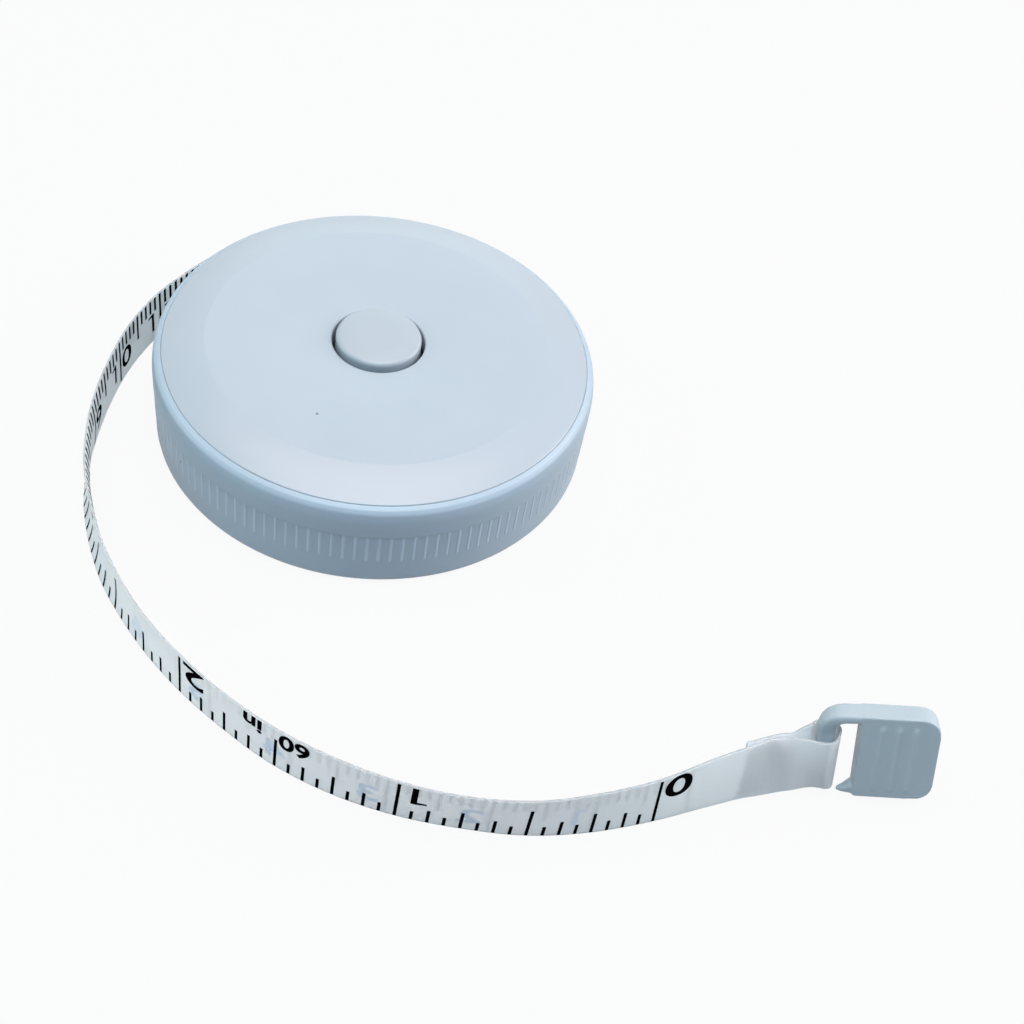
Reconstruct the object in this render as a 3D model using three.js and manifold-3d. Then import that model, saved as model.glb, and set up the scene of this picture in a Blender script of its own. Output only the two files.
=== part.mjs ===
// Retractable cloth tape measure: a round plastic case of two pieces, a spring-driven reel with
// 150 cm of narrow tape, a push button that frees the reel, and an open plastic tab at the tape's end.
// Millimetres, +Z up. The origin is the middle of the case's flat underside.

import * as THREE from 'three';
import { mergeVertices } from 'three/addons/utils/BufferGeometryUtils.js';
import Module from 'manifold-3d';

// Case
const caseRadius = 25;
const wall = 1.5;
const floorThickness = 1.4;
const footRound = 1.2;
const rimWidth = 1;
const rimLand = 0.7;
const rimRound = 2.2;
const gripTop = 7.7;
const gripBottom = 3.9;
const gripStep = 0.15;
const ribCount = 126;
const ribWidth = 0.55;
const ribSink = 0.05;

// Lid
const lidThickness = 1.65;
const lidEdgeThickness = 1.2;
const lidSlopeWidth = 4.35;
const lidFall = 1.1;
const lidProud = 0.05;
const lidGap = 0.15;
const seatGap = 0.1;
const skirtDepth = 1;
const skirtThickness = 0.4;
const skirtGap = 0.25;
const holeBevel = 0.2;

// Reel and the thrust rings that it runs between
const flangeThickness = 0.7;
const drumWall = 1.2;
const collarWall = 0.8;
const collarDepth = 1.25;
const spigotHeight = 0.85;
const spigotWall = 0.8;
const thrustHeight = 0.25;
const thrustWidth = 1.4;
const runningGap = 0.3;

// Fixed arbor on the case's floor, with the keys that stop the button turning
const arborRadius = 8.2;
const arborWall = 0.95;
const arborClearance = 0.45;
const slitWidth = 0.9;
const keyCount = 3;
const keyWidth = 1.2;
const keyDepth = 0.7;
const keyGap = 0.3;

// Push button and the ratchet between it and the reel
const capRadius = 4.83;
const capProud = 0.95;
const capCrown = 0.25;
const capRound = 0.7;
const capWall = 1.4;
const buttonGap = 0.42;
const reelHoleGap = 0.35;
const buttonFlange = 1.2;
const buttonSkirt = 2.9;
const skirtWall = 1.1;
const toothCount = 6;
const pawlCount = 3;
const toothHeight = 1;
const toothClearance = 0.25;
const toothWidth = 1.5;
const pawlWidth = 1.3;
const toothRamp = 0.6;

// Button spring, a round-wire coil round a locating pin
const coilRadius = 2.4;
const coilWire = 0.45;
const coilTurns = 8;
const pinRadius = 1.7;
const pinHeight = 2;

// Mainspring, a flat spiral from the arbor out to the drum
const stripThickness = 0.3;
const stripWidth = 4.5;
const stripTurns = 8.5;
const stripGap = 0.35;
const hookDepth = 0.75;
const hookAngle = THREE.MathUtils.degToRad(200);

// Tape: its section, the wound part and the straight run from the roll to the case's slot
const tapeWidth = 7;
const tapeThickness = 0.3;
const tapeEdgeGap = 0.15;
const rollMargin = 1.4;
const rollDepth = 3.05;
const rollSeatGap = 0.15;
const turnGap = 0.45;
const leaveAngle = THREE.MathUtils.degToRad(62);
const exitClearance = 0.6;
const slotWidth = 4.2;
const slotGap = 0.3;
const joinGap = 0.3;

// End tab: an open buckle. Its place is the lower left corner of the plate's front face.
const tabPlateWidth = 8.1;
const tabHeight = 10.3;
const tabThickness = 2.4;
const tabCorner = 1.8;
const tabElbowRound = 1.5;
const tabEdgeRound = 0.45;
const tabWindow = 2;
const tabLegWidth = 1.65;
const tabLegDepth = 1.4;
const tabBar = 1;
const tabInnerRound = 0.5;
const tabLegFoot = 0.8;
const nubReach = 1.24;
const nubHeight = 1.5;
const nubTip = 0.8;
const nubRound = 0.28;
const nubFoot = 0.2;
const nubDepth = 1.2;
const ridgeCount = 3;
const ridgeWidth = 0.5;
const ridgeHeight = 0.12;
const ridgeMargin = 1.3;
const loopGap = 0.3;
const loopFoot = 0.9;
const layerGap = 0.45;
const foldRise = 0.35;
const foldReach = 0.6;
const tabPlace = new THREE.Vector3(50.65, -47.95, 0.62);
const tabYaw = THREE.MathUtils.degToRad(-8.2);
const tabLean = THREE.MathUtils.degToRad(16);
const tabTilt = THREE.MathUtils.degToRad(9.6);

// The free tape's route over the table, from behind the case round to the tab. Each row is the middle
// of the tape in plan, the height of its lower edge, and how far its upper edge leans from the lower one.
const tapeRoute = [
  [-5.8, 26.1, 2.8, 0, 0],
  [-8.5, 25.5, 2.8, 0, 0],
  [-12.6, 23.2, 2.7, 0.06, -0.1],
  [-16.3, 20.4, 2.6, 0.15, -0.19],
  [-19.3, 17.6, 2.5, 0.25, -0.27],
  [-21.7, 15, 2.4, 0.27, -0.27],
  [-24.1, 12, 2.2, 0.33, -0.28],
  [-26.2, 9, 2, 0.42, -0.31],
  [-27.8, 5.7, 1.75, 0.43, -0.21],
  [-29, 2.2, 1.5, 0.41, -0.14],
  [-29.8, -1.5, 1.2, 0.42, -0.08],
  [-30.3, -5.3, 0.95, 0.36, -0.04],
  [-30.5, -9.2, 0.7, 0.36, 0],
  [-30.3, -13.4, 0.5, 0.5, 0],
  [-29.7, -17.4, 0.35, 0.48, 0.07],
  [-28.7, -21, 0.2, 0.47, 0.13],
  [-27.5, -24.4, 0.15, 0.46, 0.16],
  [-26.1, -27.7, 0.1, 0.33, 0.15],
  [-24.1, -31.3, 0.1, 0.1, 0.06],
  [-21.1, -35.7, 0.1, -0.1, -0.07],
  [-16.9, -40.4, 0.1, -0.19, -0.16],
  [-12.1, -44.6, 0.1, -0.24, -0.27],
  [-6.8, -48.3, 0.1, -0.17, -0.25],
  [-1.1, -51.1, 0.1, -0.17, -0.33],
  [5, -53.1, 0.1, -0.2, -0.57],
  [11.4, -54.2, 0.1, -0.1, -0.8],
  [17.9, -54.4, 0.1, 0, -0.5],
  [24.1, -53.4, 0.1, 0, 0],
  [30.1, -51.6, 0.1, -0.13, 0.42],
  [35.5, -49.3, 0.15, -0.45, 1.13],
  [39.5, -47.8, 0.4, -0.66, 1.57],
];

// The tape's loop round the tab's leg, wider at its upper edge in front. Each row is a point along and
// behind the tab's face from the middle of the leg, in loop radii, the flare of the tape's upper edge
// away from the leg, and how far the tape has slipped up along the leg.
const tapeLoop = [
  [-3.7, -1.15, 0.1, 0],
  [-2.24, -1.27, 0.15, 0],
  [-0.89, -1.08, 0.29, 0],
  [0.25, -1.41, 0.23, 0],
  [0.81, -0.72, 0, 0],
  [1, 0, 0.02, 0],
  [0.72, 0.66, 0, 0],
  [0.08, 0.92, 0, 0],
  [-0.75, 0.68, 0, -0.2],
  [-1.7, 0, 0, -0.1],
  [-2.6, -0.56, 0, -0.05],
  [-3.5, -0.53, 0, 0.05],
];

// Facets
const caseFacetCount = 63;
const reelFacetCount = 60;
const buttonFacetCount = 40;
const arcStepCount = 3;
const routeStepCount = 72;
const loopStepCount = 26;
const turnStepCount = 20;
const coilStepCount = 8;

// Heights, from the floor up through the reel to the lid
const reelBottom = floorThickness + thrustHeight + runningGap;
const lowerFlangeTop = reelBottom + flangeThickness;
const tapeBottom = lowerFlangeTop + tapeEdgeGap;
const tapeTop = tapeBottom + tapeWidth;
const webBottom = tapeTop + tapeEdgeGap;
const reelTop = webBottom + flangeThickness;
const lidUnderside = reelTop + runningGap + thrustHeight;
const lidTop = lidUnderside + lidThickness;
const lidEdgeTop = lidTop - lidFall;
const lidEdgeBottom = lidEdgeTop - lidEdgeThickness;
const ledgeHeight = lidEdgeBottom - seatGap;
const rimTop = lidEdgeTop - lidProud;
const arborTop = webBottom - arborClearance;
const tapeMiddle = tapeBottom + tapeWidth / 2;

// Radii, from the wall inwards
const caseInner = caseRadius - wall;
const rimInner = caseRadius - rimWidth;
const lidRadius = rimInner - lidGap;
const lidFlatRadius = lidRadius - lidSlopeWidth;
const skirtOuter = caseInner - skirtGap;
const skirtInner = skirtOuter - skirtThickness;
const flangeRadius = skirtInner - runningGap;
const turnRadius = flangeRadius - rollMargin - tapeThickness / 2;
const rollCoreRadius = turnRadius - tapeThickness / 2 - turnGap;
const drumRadius = rollCoreRadius - rollDepth - rollSeatGap;
const drumInner = drumRadius - drumWall;
const arborBore = arborRadius - arborWall;
const hubHole = arborRadius + runningGap;
const lidHole = capRadius + buttonGap;
const reelHole = lidHole + reelHoleGap;
const buttonFlangeRadius = arborBore - runningGap;
const toothOuter = arborBore - runningGap;
const toothInner = reelHole;

const wasm = await Module();
wasm.setup();

// A closed geometry as a solid that can be joined and cut.
function toSolid(geometry) {
  const plain = geometry.index ? geometry.toNonIndexed() : geometry.clone();
  plain.deleteAttribute('normal');
  plain.deleteAttribute('uv');
  const merged = mergeVertices(plain, 1e-4);
  const corners = [];
  for (let i = 0; i < merged.index.count; i += 3) {
    const [a, b, c] = [0, 1, 2].map((k) => merged.index.getX(i + k));
    if (a !== b && b !== c && c !== a) corners.push(a, b, c);
  }
  return new wasm.Manifold(new wasm.Mesh({
    numProp: 3,
    vertProperties: Float32Array.from(merged.attributes.position.array),
    triVerts: Uint32Array.from(corners),
  }));
}

function toGeometry(solid) {
  const mesh = solid.getMesh();
  const geometry = new THREE.BufferGeometry();
  geometry.setAttribute('position', new THREE.Float32BufferAttribute(mesh.vertProperties, 3));
  geometry.setIndex(Array.from(mesh.triVerts));
  geometry.computeVertexNormals();
  return geometry;
}

// A profile of radius and height, drawn anticlockwise, turned about the Z axis.
function revolve(profile, facets) {
  const points = profile.getPoints(arcStepCount);
  const turned = new THREE.LatheGeometry(points, facets);
  turned.rotateX(Math.PI / 2);
  return toSolid(turned);
}

// A closed path through corners given as [radius, height].
function outline(corners) {
  const path = new THREE.Path();
  corners.forEach(([r, z], i) => (i === 0 ? path.moveTo(r, z) : path.lineTo(r, z)));
  return path;
}

// A block whose middle stands on a given radius and angle, with its length along the radius.
function radialBlock(angle, innerRadius, outerRadius, width, bottom, top) {
  const block = new THREE.BoxGeometry(outerRadius - innerRadius, width, top - bottom);
  block.translate((innerRadius + outerRadius) / 2, 0, (bottom + top) / 2);
  block.rotateZ(angle);
  return toSolid(block);
}

// A flat strip through stations, each with the strip's middle and the direction across its width.
function ribbon(stations, width, thickness) {
  const positions = [];
  const sides = [[-1, -1], [1, -1], [1, 1], [-1, 1]];
  const last = stations.length - 1;
  stations.forEach(({ middle, across }, i) => {
    const before = stations[Math.max(i - 1, 0)].middle;
    const after = stations[Math.min(i + 1, last)].middle;
    const along = after.clone().sub(before).normalize();
    const face = along.clone().cross(across).normalize();
    const up = face.clone().cross(along);
    sides.forEach(([u, f]) => {
      const corner = middle.clone();
      corner.addScaledVector(up, (u * width) / 2);
      corner.addScaledVector(face, (f * thickness) / 2);
      positions.push(corner.x, corner.y, corner.z);
    });
  });
  const index = [0, 3, 2, 0, 2, 1];
  for (let i = 0; i < last; i += 1) {
    for (let j = 0; j < 4; j += 1) {
      const a = 4 * i + j;
      const b = 4 * i + ((j + 1) % 4);
      index.push(a, b, b + 4, a, b + 4, a + 4);
    }
  }
  const end = 4 * last;
  index.push(end, end + 1, end + 2, end, end + 2, end + 3);
  const geometry = new THREE.BufferGeometry();
  geometry.setAttribute('position', new THREE.Float32BufferAttribute(positions, 3));
  geometry.setIndex(index);
  return geometry;
}

const upright = new THREE.Vector3(0, 0, 1);
const onCircle = (radius, angle, height) => new THREE.Vector3(
  radius * Math.cos(angle),
  radius * Math.sin(angle),
  height,
);

// The tape leaves the roll along a tangent and runs straight through the slot in the case's wall.
const leavePoint = onCircle(turnRadius, leaveAngle, tapeMiddle);
const heading = onCircle(1, leaveAngle + Math.PI / 2, 0);
const runTo = (radius) => Math.sqrt(radius ** 2 - turnRadius ** 2);
const onRun = (distance) => leavePoint.clone().addScaledVector(heading, distance);
const wallCrossing = onRun(runTo(caseRadius - wall / 2));
const slotAngle = Math.atan2(wallCrossing.y, wallCrossing.x);
const skirtCrossing = onRun(runTo(skirtInner));
const skirtCutAngle = Math.atan2(skirtCrossing.y, skirtCrossing.x);
const exitRun = runTo(caseRadius + exitClearance);

// Case bottom: a moulded cup with its ribbed grip, the ledge for the lid, the tape slot and the arbor.
function baseCup() {
  const lowerWall = caseRadius - gripStep;
  const thrustInner = arborRadius + thrustWidth;
  const thrustOuter = thrustInner + thrustWidth;
  const thrustTop = floorThickness + thrustHeight;
  const profile = new THREE.Path();
  profile.moveTo(0, 0);
  profile.lineTo(lowerWall - footRound, 0);
  profile.absarc(lowerWall - footRound, footRound, footRound, -Math.PI / 2, 0);
  profile.lineTo(lowerWall, gripTop);
  profile.lineTo(caseRadius, gripTop);
  const rimTurn = Math.acos(1 - (rimWidth - rimLand) / rimRound);
  const rimStart = rimTop - rimRound * Math.sin(rimTurn);
  profile.lineTo(caseRadius, rimStart);
  profile.absarc(caseRadius - rimRound, rimStart, rimRound, 0, rimTurn);
  [
    [rimInner, rimTop], [rimInner, ledgeHeight], [caseInner, ledgeHeight], [caseInner, floorThickness],
    [thrustOuter, floorThickness], [thrustOuter, thrustTop],
    [thrustInner, thrustTop], [thrustInner, floorThickness],
    [arborRadius, floorThickness], [arborRadius, arborTop],
    [arborBore, arborTop], [arborBore, floorThickness],
    [pinRadius, floorThickness], [pinRadius, floorThickness + pinHeight], [0, floorThickness + pinHeight],
  ].forEach(([r, z]) => profile.lineTo(r, z));
  let cup = revolve(profile, caseFacetCount);
  for (let i = 0; i < ribCount; i += 1) {
    const angle = (i * 2 * Math.PI) / ribCount;
    cup = cup.add(radialBlock(
      angle, lowerWall - wall / 2, caseRadius - ribSink, ribWidth, gripBottom, gripTop + gripStep,
    ));
  }
  const keyTop = webBottom - toothHeight - keyGap;
  for (let i = 0; i < keyCount; i += 1) {
    const angle = (i * 2 * Math.PI) / keyCount;
    cup = cup.add(radialBlock(
      angle, arborBore - keyDepth, arborBore + arborWall / 2, keyWidth, floorThickness / 2, keyTop,
    ));
  }
  const slotTop = ledgeHeight + slotGap;
  cup = cup.subtract(radialBlock(
    slotAngle, caseInner - wall, caseRadius + wall, slotWidth, tapeBottom - slotGap, slotTop,
  ));
  const slitInner = arborBore - arborWall / 2;
  const slitOuter = arborRadius + arborWall;
  return cup.subtract(radialBlock(
    hookAngle, slitInner, slitOuter, slitWidth, lowerFlangeTop, arborTop + arborWall,
  ));
}

// Case top: a disc with a sloped edge that drops into the rim, and a skirt that centres it in the wall.
function topCover() {
  const thrustInner = reelHole + thrustWidth;
  const thrustOuter = thrustInner + thrustWidth;
  const thrustBottom = lidUnderside - thrustHeight;
  const slopeStart = lidFlatRadius - lidThickness / 2;
  let lid = revolve(outline([
    [lidHole, lidUnderside], [thrustInner, lidUnderside], [thrustInner, thrustBottom],
    [thrustOuter, thrustBottom], [thrustOuter, lidUnderside], [slopeStart, lidUnderside],
    [skirtInner, thrustBottom], [skirtInner, lidEdgeBottom],
    [lidRadius, lidEdgeBottom], [lidRadius, lidEdgeTop],
    [lidFlatRadius, lidTop], [lidHole + holeBevel, lidTop], [lidHole, lidTop - holeBevel],
    [lidHole, lidUnderside],
  ]), caseFacetCount);
  const skirtTop = lidEdgeBottom + lidEdgeThickness / 4;
  const skirtBottom = lidEdgeBottom - skirtDepth;
  const skirt = revolve(outline([
    [skirtInner, skirtBottom], [skirtOuter, skirtBottom], [skirtOuter, skirtTop], [skirtInner, skirtTop],
    [skirtInner, skirtBottom],
  ]), caseFacetCount);
  const notchBottom = skirtBottom - skirtDepth;
  const notch = radialBlock(
    skirtCutAngle, skirtInner - wall, skirtOuter + wall, 2 * slotWidth, notchBottom, lidEdgeBottom,
  );
  return lid.add(skirt.subtract(notch));
}

// One ratchet tooth: upright on the side that locks and sloped on the other, pointing along Z.
function toothBlock(angle, width) {
  const low = -width / 2;
  const high = width / 2;
  const slope = high - toothRamp;
  const face = new THREE.Shape();
  face.moveTo(low, -toothHeight / 2);
  face.lineTo(high, -toothHeight / 2);
  face.lineTo(slope, toothHeight);
  face.lineTo(low, toothHeight);
  face.closePath();
  const tooth = new THREE.ExtrudeGeometry(face, { depth: toothOuter - toothInner, bevelEnabled: false });
  tooth.rotateX(Math.PI / 2);
  tooth.translate(0, toothOuter, 0);
  tooth.rotateZ(angle - Math.PI / 2);
  return tooth;
}

// At rest each pawl of the button stands just behind a tooth, which stops the reel running back.
const toothRadius = (toothInner + toothOuter) / 2;
const pawlOffset = ((toothWidth + pawlWidth) / 2 + runningGap) / toothRadius;

// Reel: the drum that the tape is wound on, its upper flange, the hub collar and the ratchet's teeth.
function reelDrum() {
  const collarOuter = hubHole + collarWall;
  const collarBottom = webBottom - collarDepth;
  const drumBottom = lowerFlangeTop + seatGap;
  let drum = revolve(outline([
    [reelHole, webBottom], [hubHole, webBottom], [hubHole, collarBottom], [collarOuter, collarBottom],
    [collarOuter, webBottom], [drumInner, webBottom], [drumInner, drumBottom], [drumRadius, drumBottom],
    [drumRadius, webBottom], [flangeRadius, webBottom], [flangeRadius, reelTop], [reelHole, reelTop],
    [reelHole, webBottom],
  ]), reelFacetCount);
  for (let i = 0; i < toothCount; i += 1) {
    const tooth = toothBlock((i * 2 * Math.PI) / toothCount, toothWidth);
    tooth.rotateX(Math.PI);
    tooth.translate(0, 0, webBottom);
    drum = drum.add(toSolid(tooth));
  }
  return drum;
}

// Lower flange: a disc that closes the spring's chamber and centres itself in the drum.
function reelDisc() {
  const spigotOuter = drumInner - runningGap;
  const spigotInner = spigotOuter - spigotWall;
  const spigotTop = lowerFlangeTop + spigotHeight;
  return revolve(outline([
    [hubHole, reelBottom], [flangeRadius, reelBottom], [flangeRadius, lowerFlangeTop],
    [spigotOuter, lowerFlangeTop], [spigotOuter, spigotTop], [spigotInner, spigotTop],
    [spigotInner, lowerFlangeTop], [hubHole, lowerFlangeTop], [hubHole, reelBottom],
  ]), reelFacetCount);
}

// Push button: a domed cap, the keyed flange with the pawls, and a skirt round the coil spring.
const buttonCeiling = lidTop + capProud - capWall;
const buttonFlangeTop = webBottom - toothHeight - toothClearance;
function pushButton() {
  const capTop = lidTop + capProud;
  const shoulder = capTop - capCrown - capRound;
  const flangeBottom = buttonFlangeTop - buttonFlange;
  const skirtBottom = flangeBottom - buttonSkirt;
  const bore = coilRadius + coilWire / 2 + keyGap;
  const profile = new THREE.Path();
  profile.moveTo(0, buttonCeiling);
  [
    [bore, buttonCeiling], [bore, skirtBottom],
    [bore + skirtWall, skirtBottom], [bore + skirtWall, flangeBottom],
    [buttonFlangeRadius, flangeBottom], [buttonFlangeRadius, buttonFlangeTop], [capRadius, buttonFlangeTop],
    [capRadius, shoulder],
  ].forEach(([r, z]) => profile.lineTo(r, z));
  profile.absarc(capRadius - capRound, shoulder, capRound, 0, Math.PI / 2);
  profile.quadraticCurveTo((capRadius - capRound) / 2, capTop, 0, capTop);
  let button = revolve(profile, buttonFacetCount);
  for (let i = 0; i < keyCount; i += 1) {
    button = button.subtract(radialBlock(
      (i * 2 * Math.PI) / keyCount, arborBore - keyDepth - keyGap, arborRadius, keyWidth + 2 * keyGap,
      flangeBottom - buttonFlange, buttonFlangeTop + buttonFlange,
    ));
  }
  for (let i = 0; i < pawlCount; i += 1) {
    const pawl = toothBlock((i * 2 * Math.PI) / pawlCount - pawlOffset, pawlWidth);
    pawl.translate(0, 0, buttonFlangeTop);
    button = button.add(toSolid(pawl));
  }
  return button;
}

// Button spring: a coil standing on the case's floor under the button's cap.
class Helix extends THREE.Curve {
  constructor(radius, turns, bottom, top) {
    super();
    Object.assign(this, { radius, turns, bottom, top });
  }

  getPoint(t, target = new THREE.Vector3()) {
    const height = this.bottom + (this.top - this.bottom) * t;
    return target.copy(onCircle(this.radius, 2 * Math.PI * this.turns * t, height));
  }
}

function buttonSpring() {
  const bottom = floorThickness + seatGap + coilWire / 2;
  const top = buttonCeiling - seatGap - coilWire / 2;
  const section = new THREE.Shape();
  section.absarc(0, 0, coilWire / 2, 0, 2 * Math.PI);
  const coil = new THREE.ExtrudeGeometry(section, {
    curveSegments: 3,
    steps: coilTurns * coilStepCount,
    bevelEnabled: false,
    extrudePath: new Helix(coilRadius, coilTurns, bottom, top),
  });
  const pitch = (top - bottom) / coilTurns;
  console.log(`button spring: gap between turns ${(pitch - coilWire).toFixed(2)} mm`);
  return toSolid(coil);
}

// Mainspring: its inner end is hooked into the arbor's slit, and its outer turn lies in the drum.
function mainspring() {
  const innerRadius = arborRadius + stripGap + stripThickness / 2;
  const outerRadius = drumInner - stripGap - stripThickness / 2;
  const bottom = lowerFlangeTop + spigotHeight + runningGap;
  const middle = bottom + stripWidth / 2;
  const steps = Math.round(stripTurns * turnStepCount);
  const hookEnd = hookAngle + slitWidth / arborRadius;
  const points = [
    onCircle(arborRadius - hookDepth, hookAngle, middle),
    onCircle(arborRadius, hookAngle, middle),
  ];
  for (let i = 0; i <= steps; i += 1) {
    const share = i / steps;
    const radius = THREE.MathUtils.lerp(innerRadius, outerRadius, share);
    points.push(onCircle(radius, hookEnd + 2 * Math.PI * stripTurns * share, middle));
  }
  let least = Infinity;
  points.forEach((p, i) => points.slice(i + turnStepCount / 2).forEach((q) => {
    least = Math.min(least, p.distanceTo(q) - stripThickness);
  }));
  console.log(`mainspring: least gap between turns ${least.toFixed(2)} mm`);
  return toSolid(ribbon(points.map((p) => ({ middle: p, across: upright })), stripWidth, stripThickness));
}

// Wound tape: the inner turns as one ring, and the outer turn laid over it up to where the tape leaves.
function tapeRoll() {
  const inner = drumRadius + rollSeatGap;
  const core = revolve(outline([
    [inner, tapeBottom], [rollCoreRadius, tapeBottom], [rollCoreRadius, tapeTop], [inner, tapeTop],
    [inner, tapeBottom],
  ]), reelFacetCount);
  const turn = THREE.MathUtils.degToRad(330);
  const startRadius = rollCoreRadius - tapeThickness;
  const climb = 0.3;
  const steps = 2 * turnStepCount;
  const stations = [];
  for (let i = 0; i <= steps; i += 1) {
    const share = i / steps;
    const rise = THREE.MathUtils.smoothstep(share, 0, climb);
    const radius = THREE.MathUtils.lerp(startRadius, turnRadius, rise);
    const angle = leaveAngle - joinGap / turnRadius - turn * (1 - share);
    stations.push({ middle: onCircle(radius, angle, tapeMiddle), across: upright });
  }
  return core.add(toSolid(ribbon(stations, tapeWidth, tapeThickness)));
}

// Straight run of tape from the roll out through the slot.
function tapeLeadIn() {
  const stations = [0, exitRun].map((distance) => ({ middle: onRun(distance), across: upright }));
  return toSolid(ribbon(stations, tapeWidth, tapeThickness));
}

// End tab: one flat moulding with a leg for the tape's loop, open at the foot, and ridges on its face.
function endTab() {
  const legRight = -tabWindow;
  const legLeft = legRight - tabLegWidth;
  const windowTop = tabHeight - tabBar;
  const legTip = tabLegWidth / 2;
  const elbow = tabHeight - tabElbowRound;
  const shoulder = elbow - tabInnerRound;
  const mould = (shape, depth, setBack, edgeRound) => {
    const flat = new THREE.ExtrudeGeometry(shape, {
      curveSegments: 4,
      depth: depth - 2 * edgeRound,
      bevelThickness: edgeRound,
      bevelSize: edgeRound,
      bevelOffset: -edgeRound,
      bevelSegments: 2,
    });
    flat.translate(0, 0, edgeRound - depth - setBack);
    return toSolid(flat);
  };
  const plate = new THREE.Shape();
  plate.moveTo(tabInnerRound, 0);
  plate.lineTo(tabPlateWidth - tabCorner, 0);
  plate.absarc(tabPlateWidth - tabCorner, tabCorner, tabCorner, -Math.PI / 2, 0);
  plate.lineTo(tabPlateWidth, tabHeight - tabCorner);
  plate.absarc(tabPlateWidth - tabCorner, tabHeight - tabCorner, tabCorner, 0, Math.PI / 2);
  plate.lineTo(legLeft + tabElbowRound, tabHeight);
  plate.absarc(legLeft + tabElbowRound, elbow, tabElbowRound, Math.PI / 2, Math.PI);
  plate.lineTo(legLeft, shoulder);
  plate.lineTo(legRight, shoulder);
  plate.absarc(
    legRight + tabInnerRound, windowTop - tabInnerRound, tabInnerRound, Math.PI, Math.PI / 2, true,
  );
  plate.lineTo(0, windowTop);
  plate.lineTo(0, tabInnerRound);
  const leg = new THREE.Shape();
  leg.moveTo(legLeft, elbow + tabBar / 2);
  leg.lineTo(legLeft, tabLegFoot + legTip);
  leg.absarc(legLeft + legTip, tabLegFoot + legTip, legTip, Math.PI, 2 * Math.PI);
  leg.lineTo(legRight, elbow + tabBar / 2);
  const nub = new THREE.Shape();
  nub.moveTo(tabCorner, nubFoot);
  nub.lineTo(0, nubFoot);
  nub.lineTo(nubRound - nubReach, nubTip - nubRound);
  nub.absarc(nubRound - nubReach, nubTip, nubRound, -Math.PI / 2, Math.PI / 2, true);
  nub.lineTo(0, nubHeight);
  nub.lineTo(tabCorner, nubHeight);
  let tab = mould(plate, tabThickness, 0, tabEdgeRound);
  tab = tab.add(mould(leg, tabLegDepth, (tabThickness - tabLegDepth) / 2, tabEdgeRound));
  tab = tab.add(mould(nub, nubDepth, nubFoot / 2, nubRound / 2));
  const ridgeLength = tabHeight - 2 * ridgeMargin;
  const ridgeSink = tabEdgeRound / 2;
  for (let i = 1; i <= ridgeCount; i += 1) {
    const ridge = new THREE.BoxGeometry(ridgeWidth, ridgeLength, ridgeHeight + ridgeSink);
    ridge.translate((i * tabPlateWidth) / (ridgeCount + 1), tabHeight / 2, (ridgeHeight - ridgeSink) / 2);
    tab = tab.add(toSolid(ridge));
  }
  return tab;
}

// The tab leans back and to one side as the tape's end holds it.
const tabStand = new THREE.Group();
tabStand.position.copy(tabPlace);
tabStand.rotation.z = tabYaw;
const tabLeaning = new THREE.Group();
tabLeaning.rotation.x = Math.PI / 2 - tabLean;
tabStand.add(tabLeaning);

function piece(name, solid, color, roughness, metalness) {
  const material = new THREE.MeshStandardMaterial({ color, roughness, metalness });
  const mesh = new THREE.Mesh(toGeometry(solid), material);
  mesh.name = name;
  return mesh;
}

const tab = piece('end_tab', endTab(), 0xb9cbd8, 0.45, 0);
tab.rotation.z = tabTilt;
tabLeaning.add(tab);
tabStand.updateMatrixWorld(true);

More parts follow.
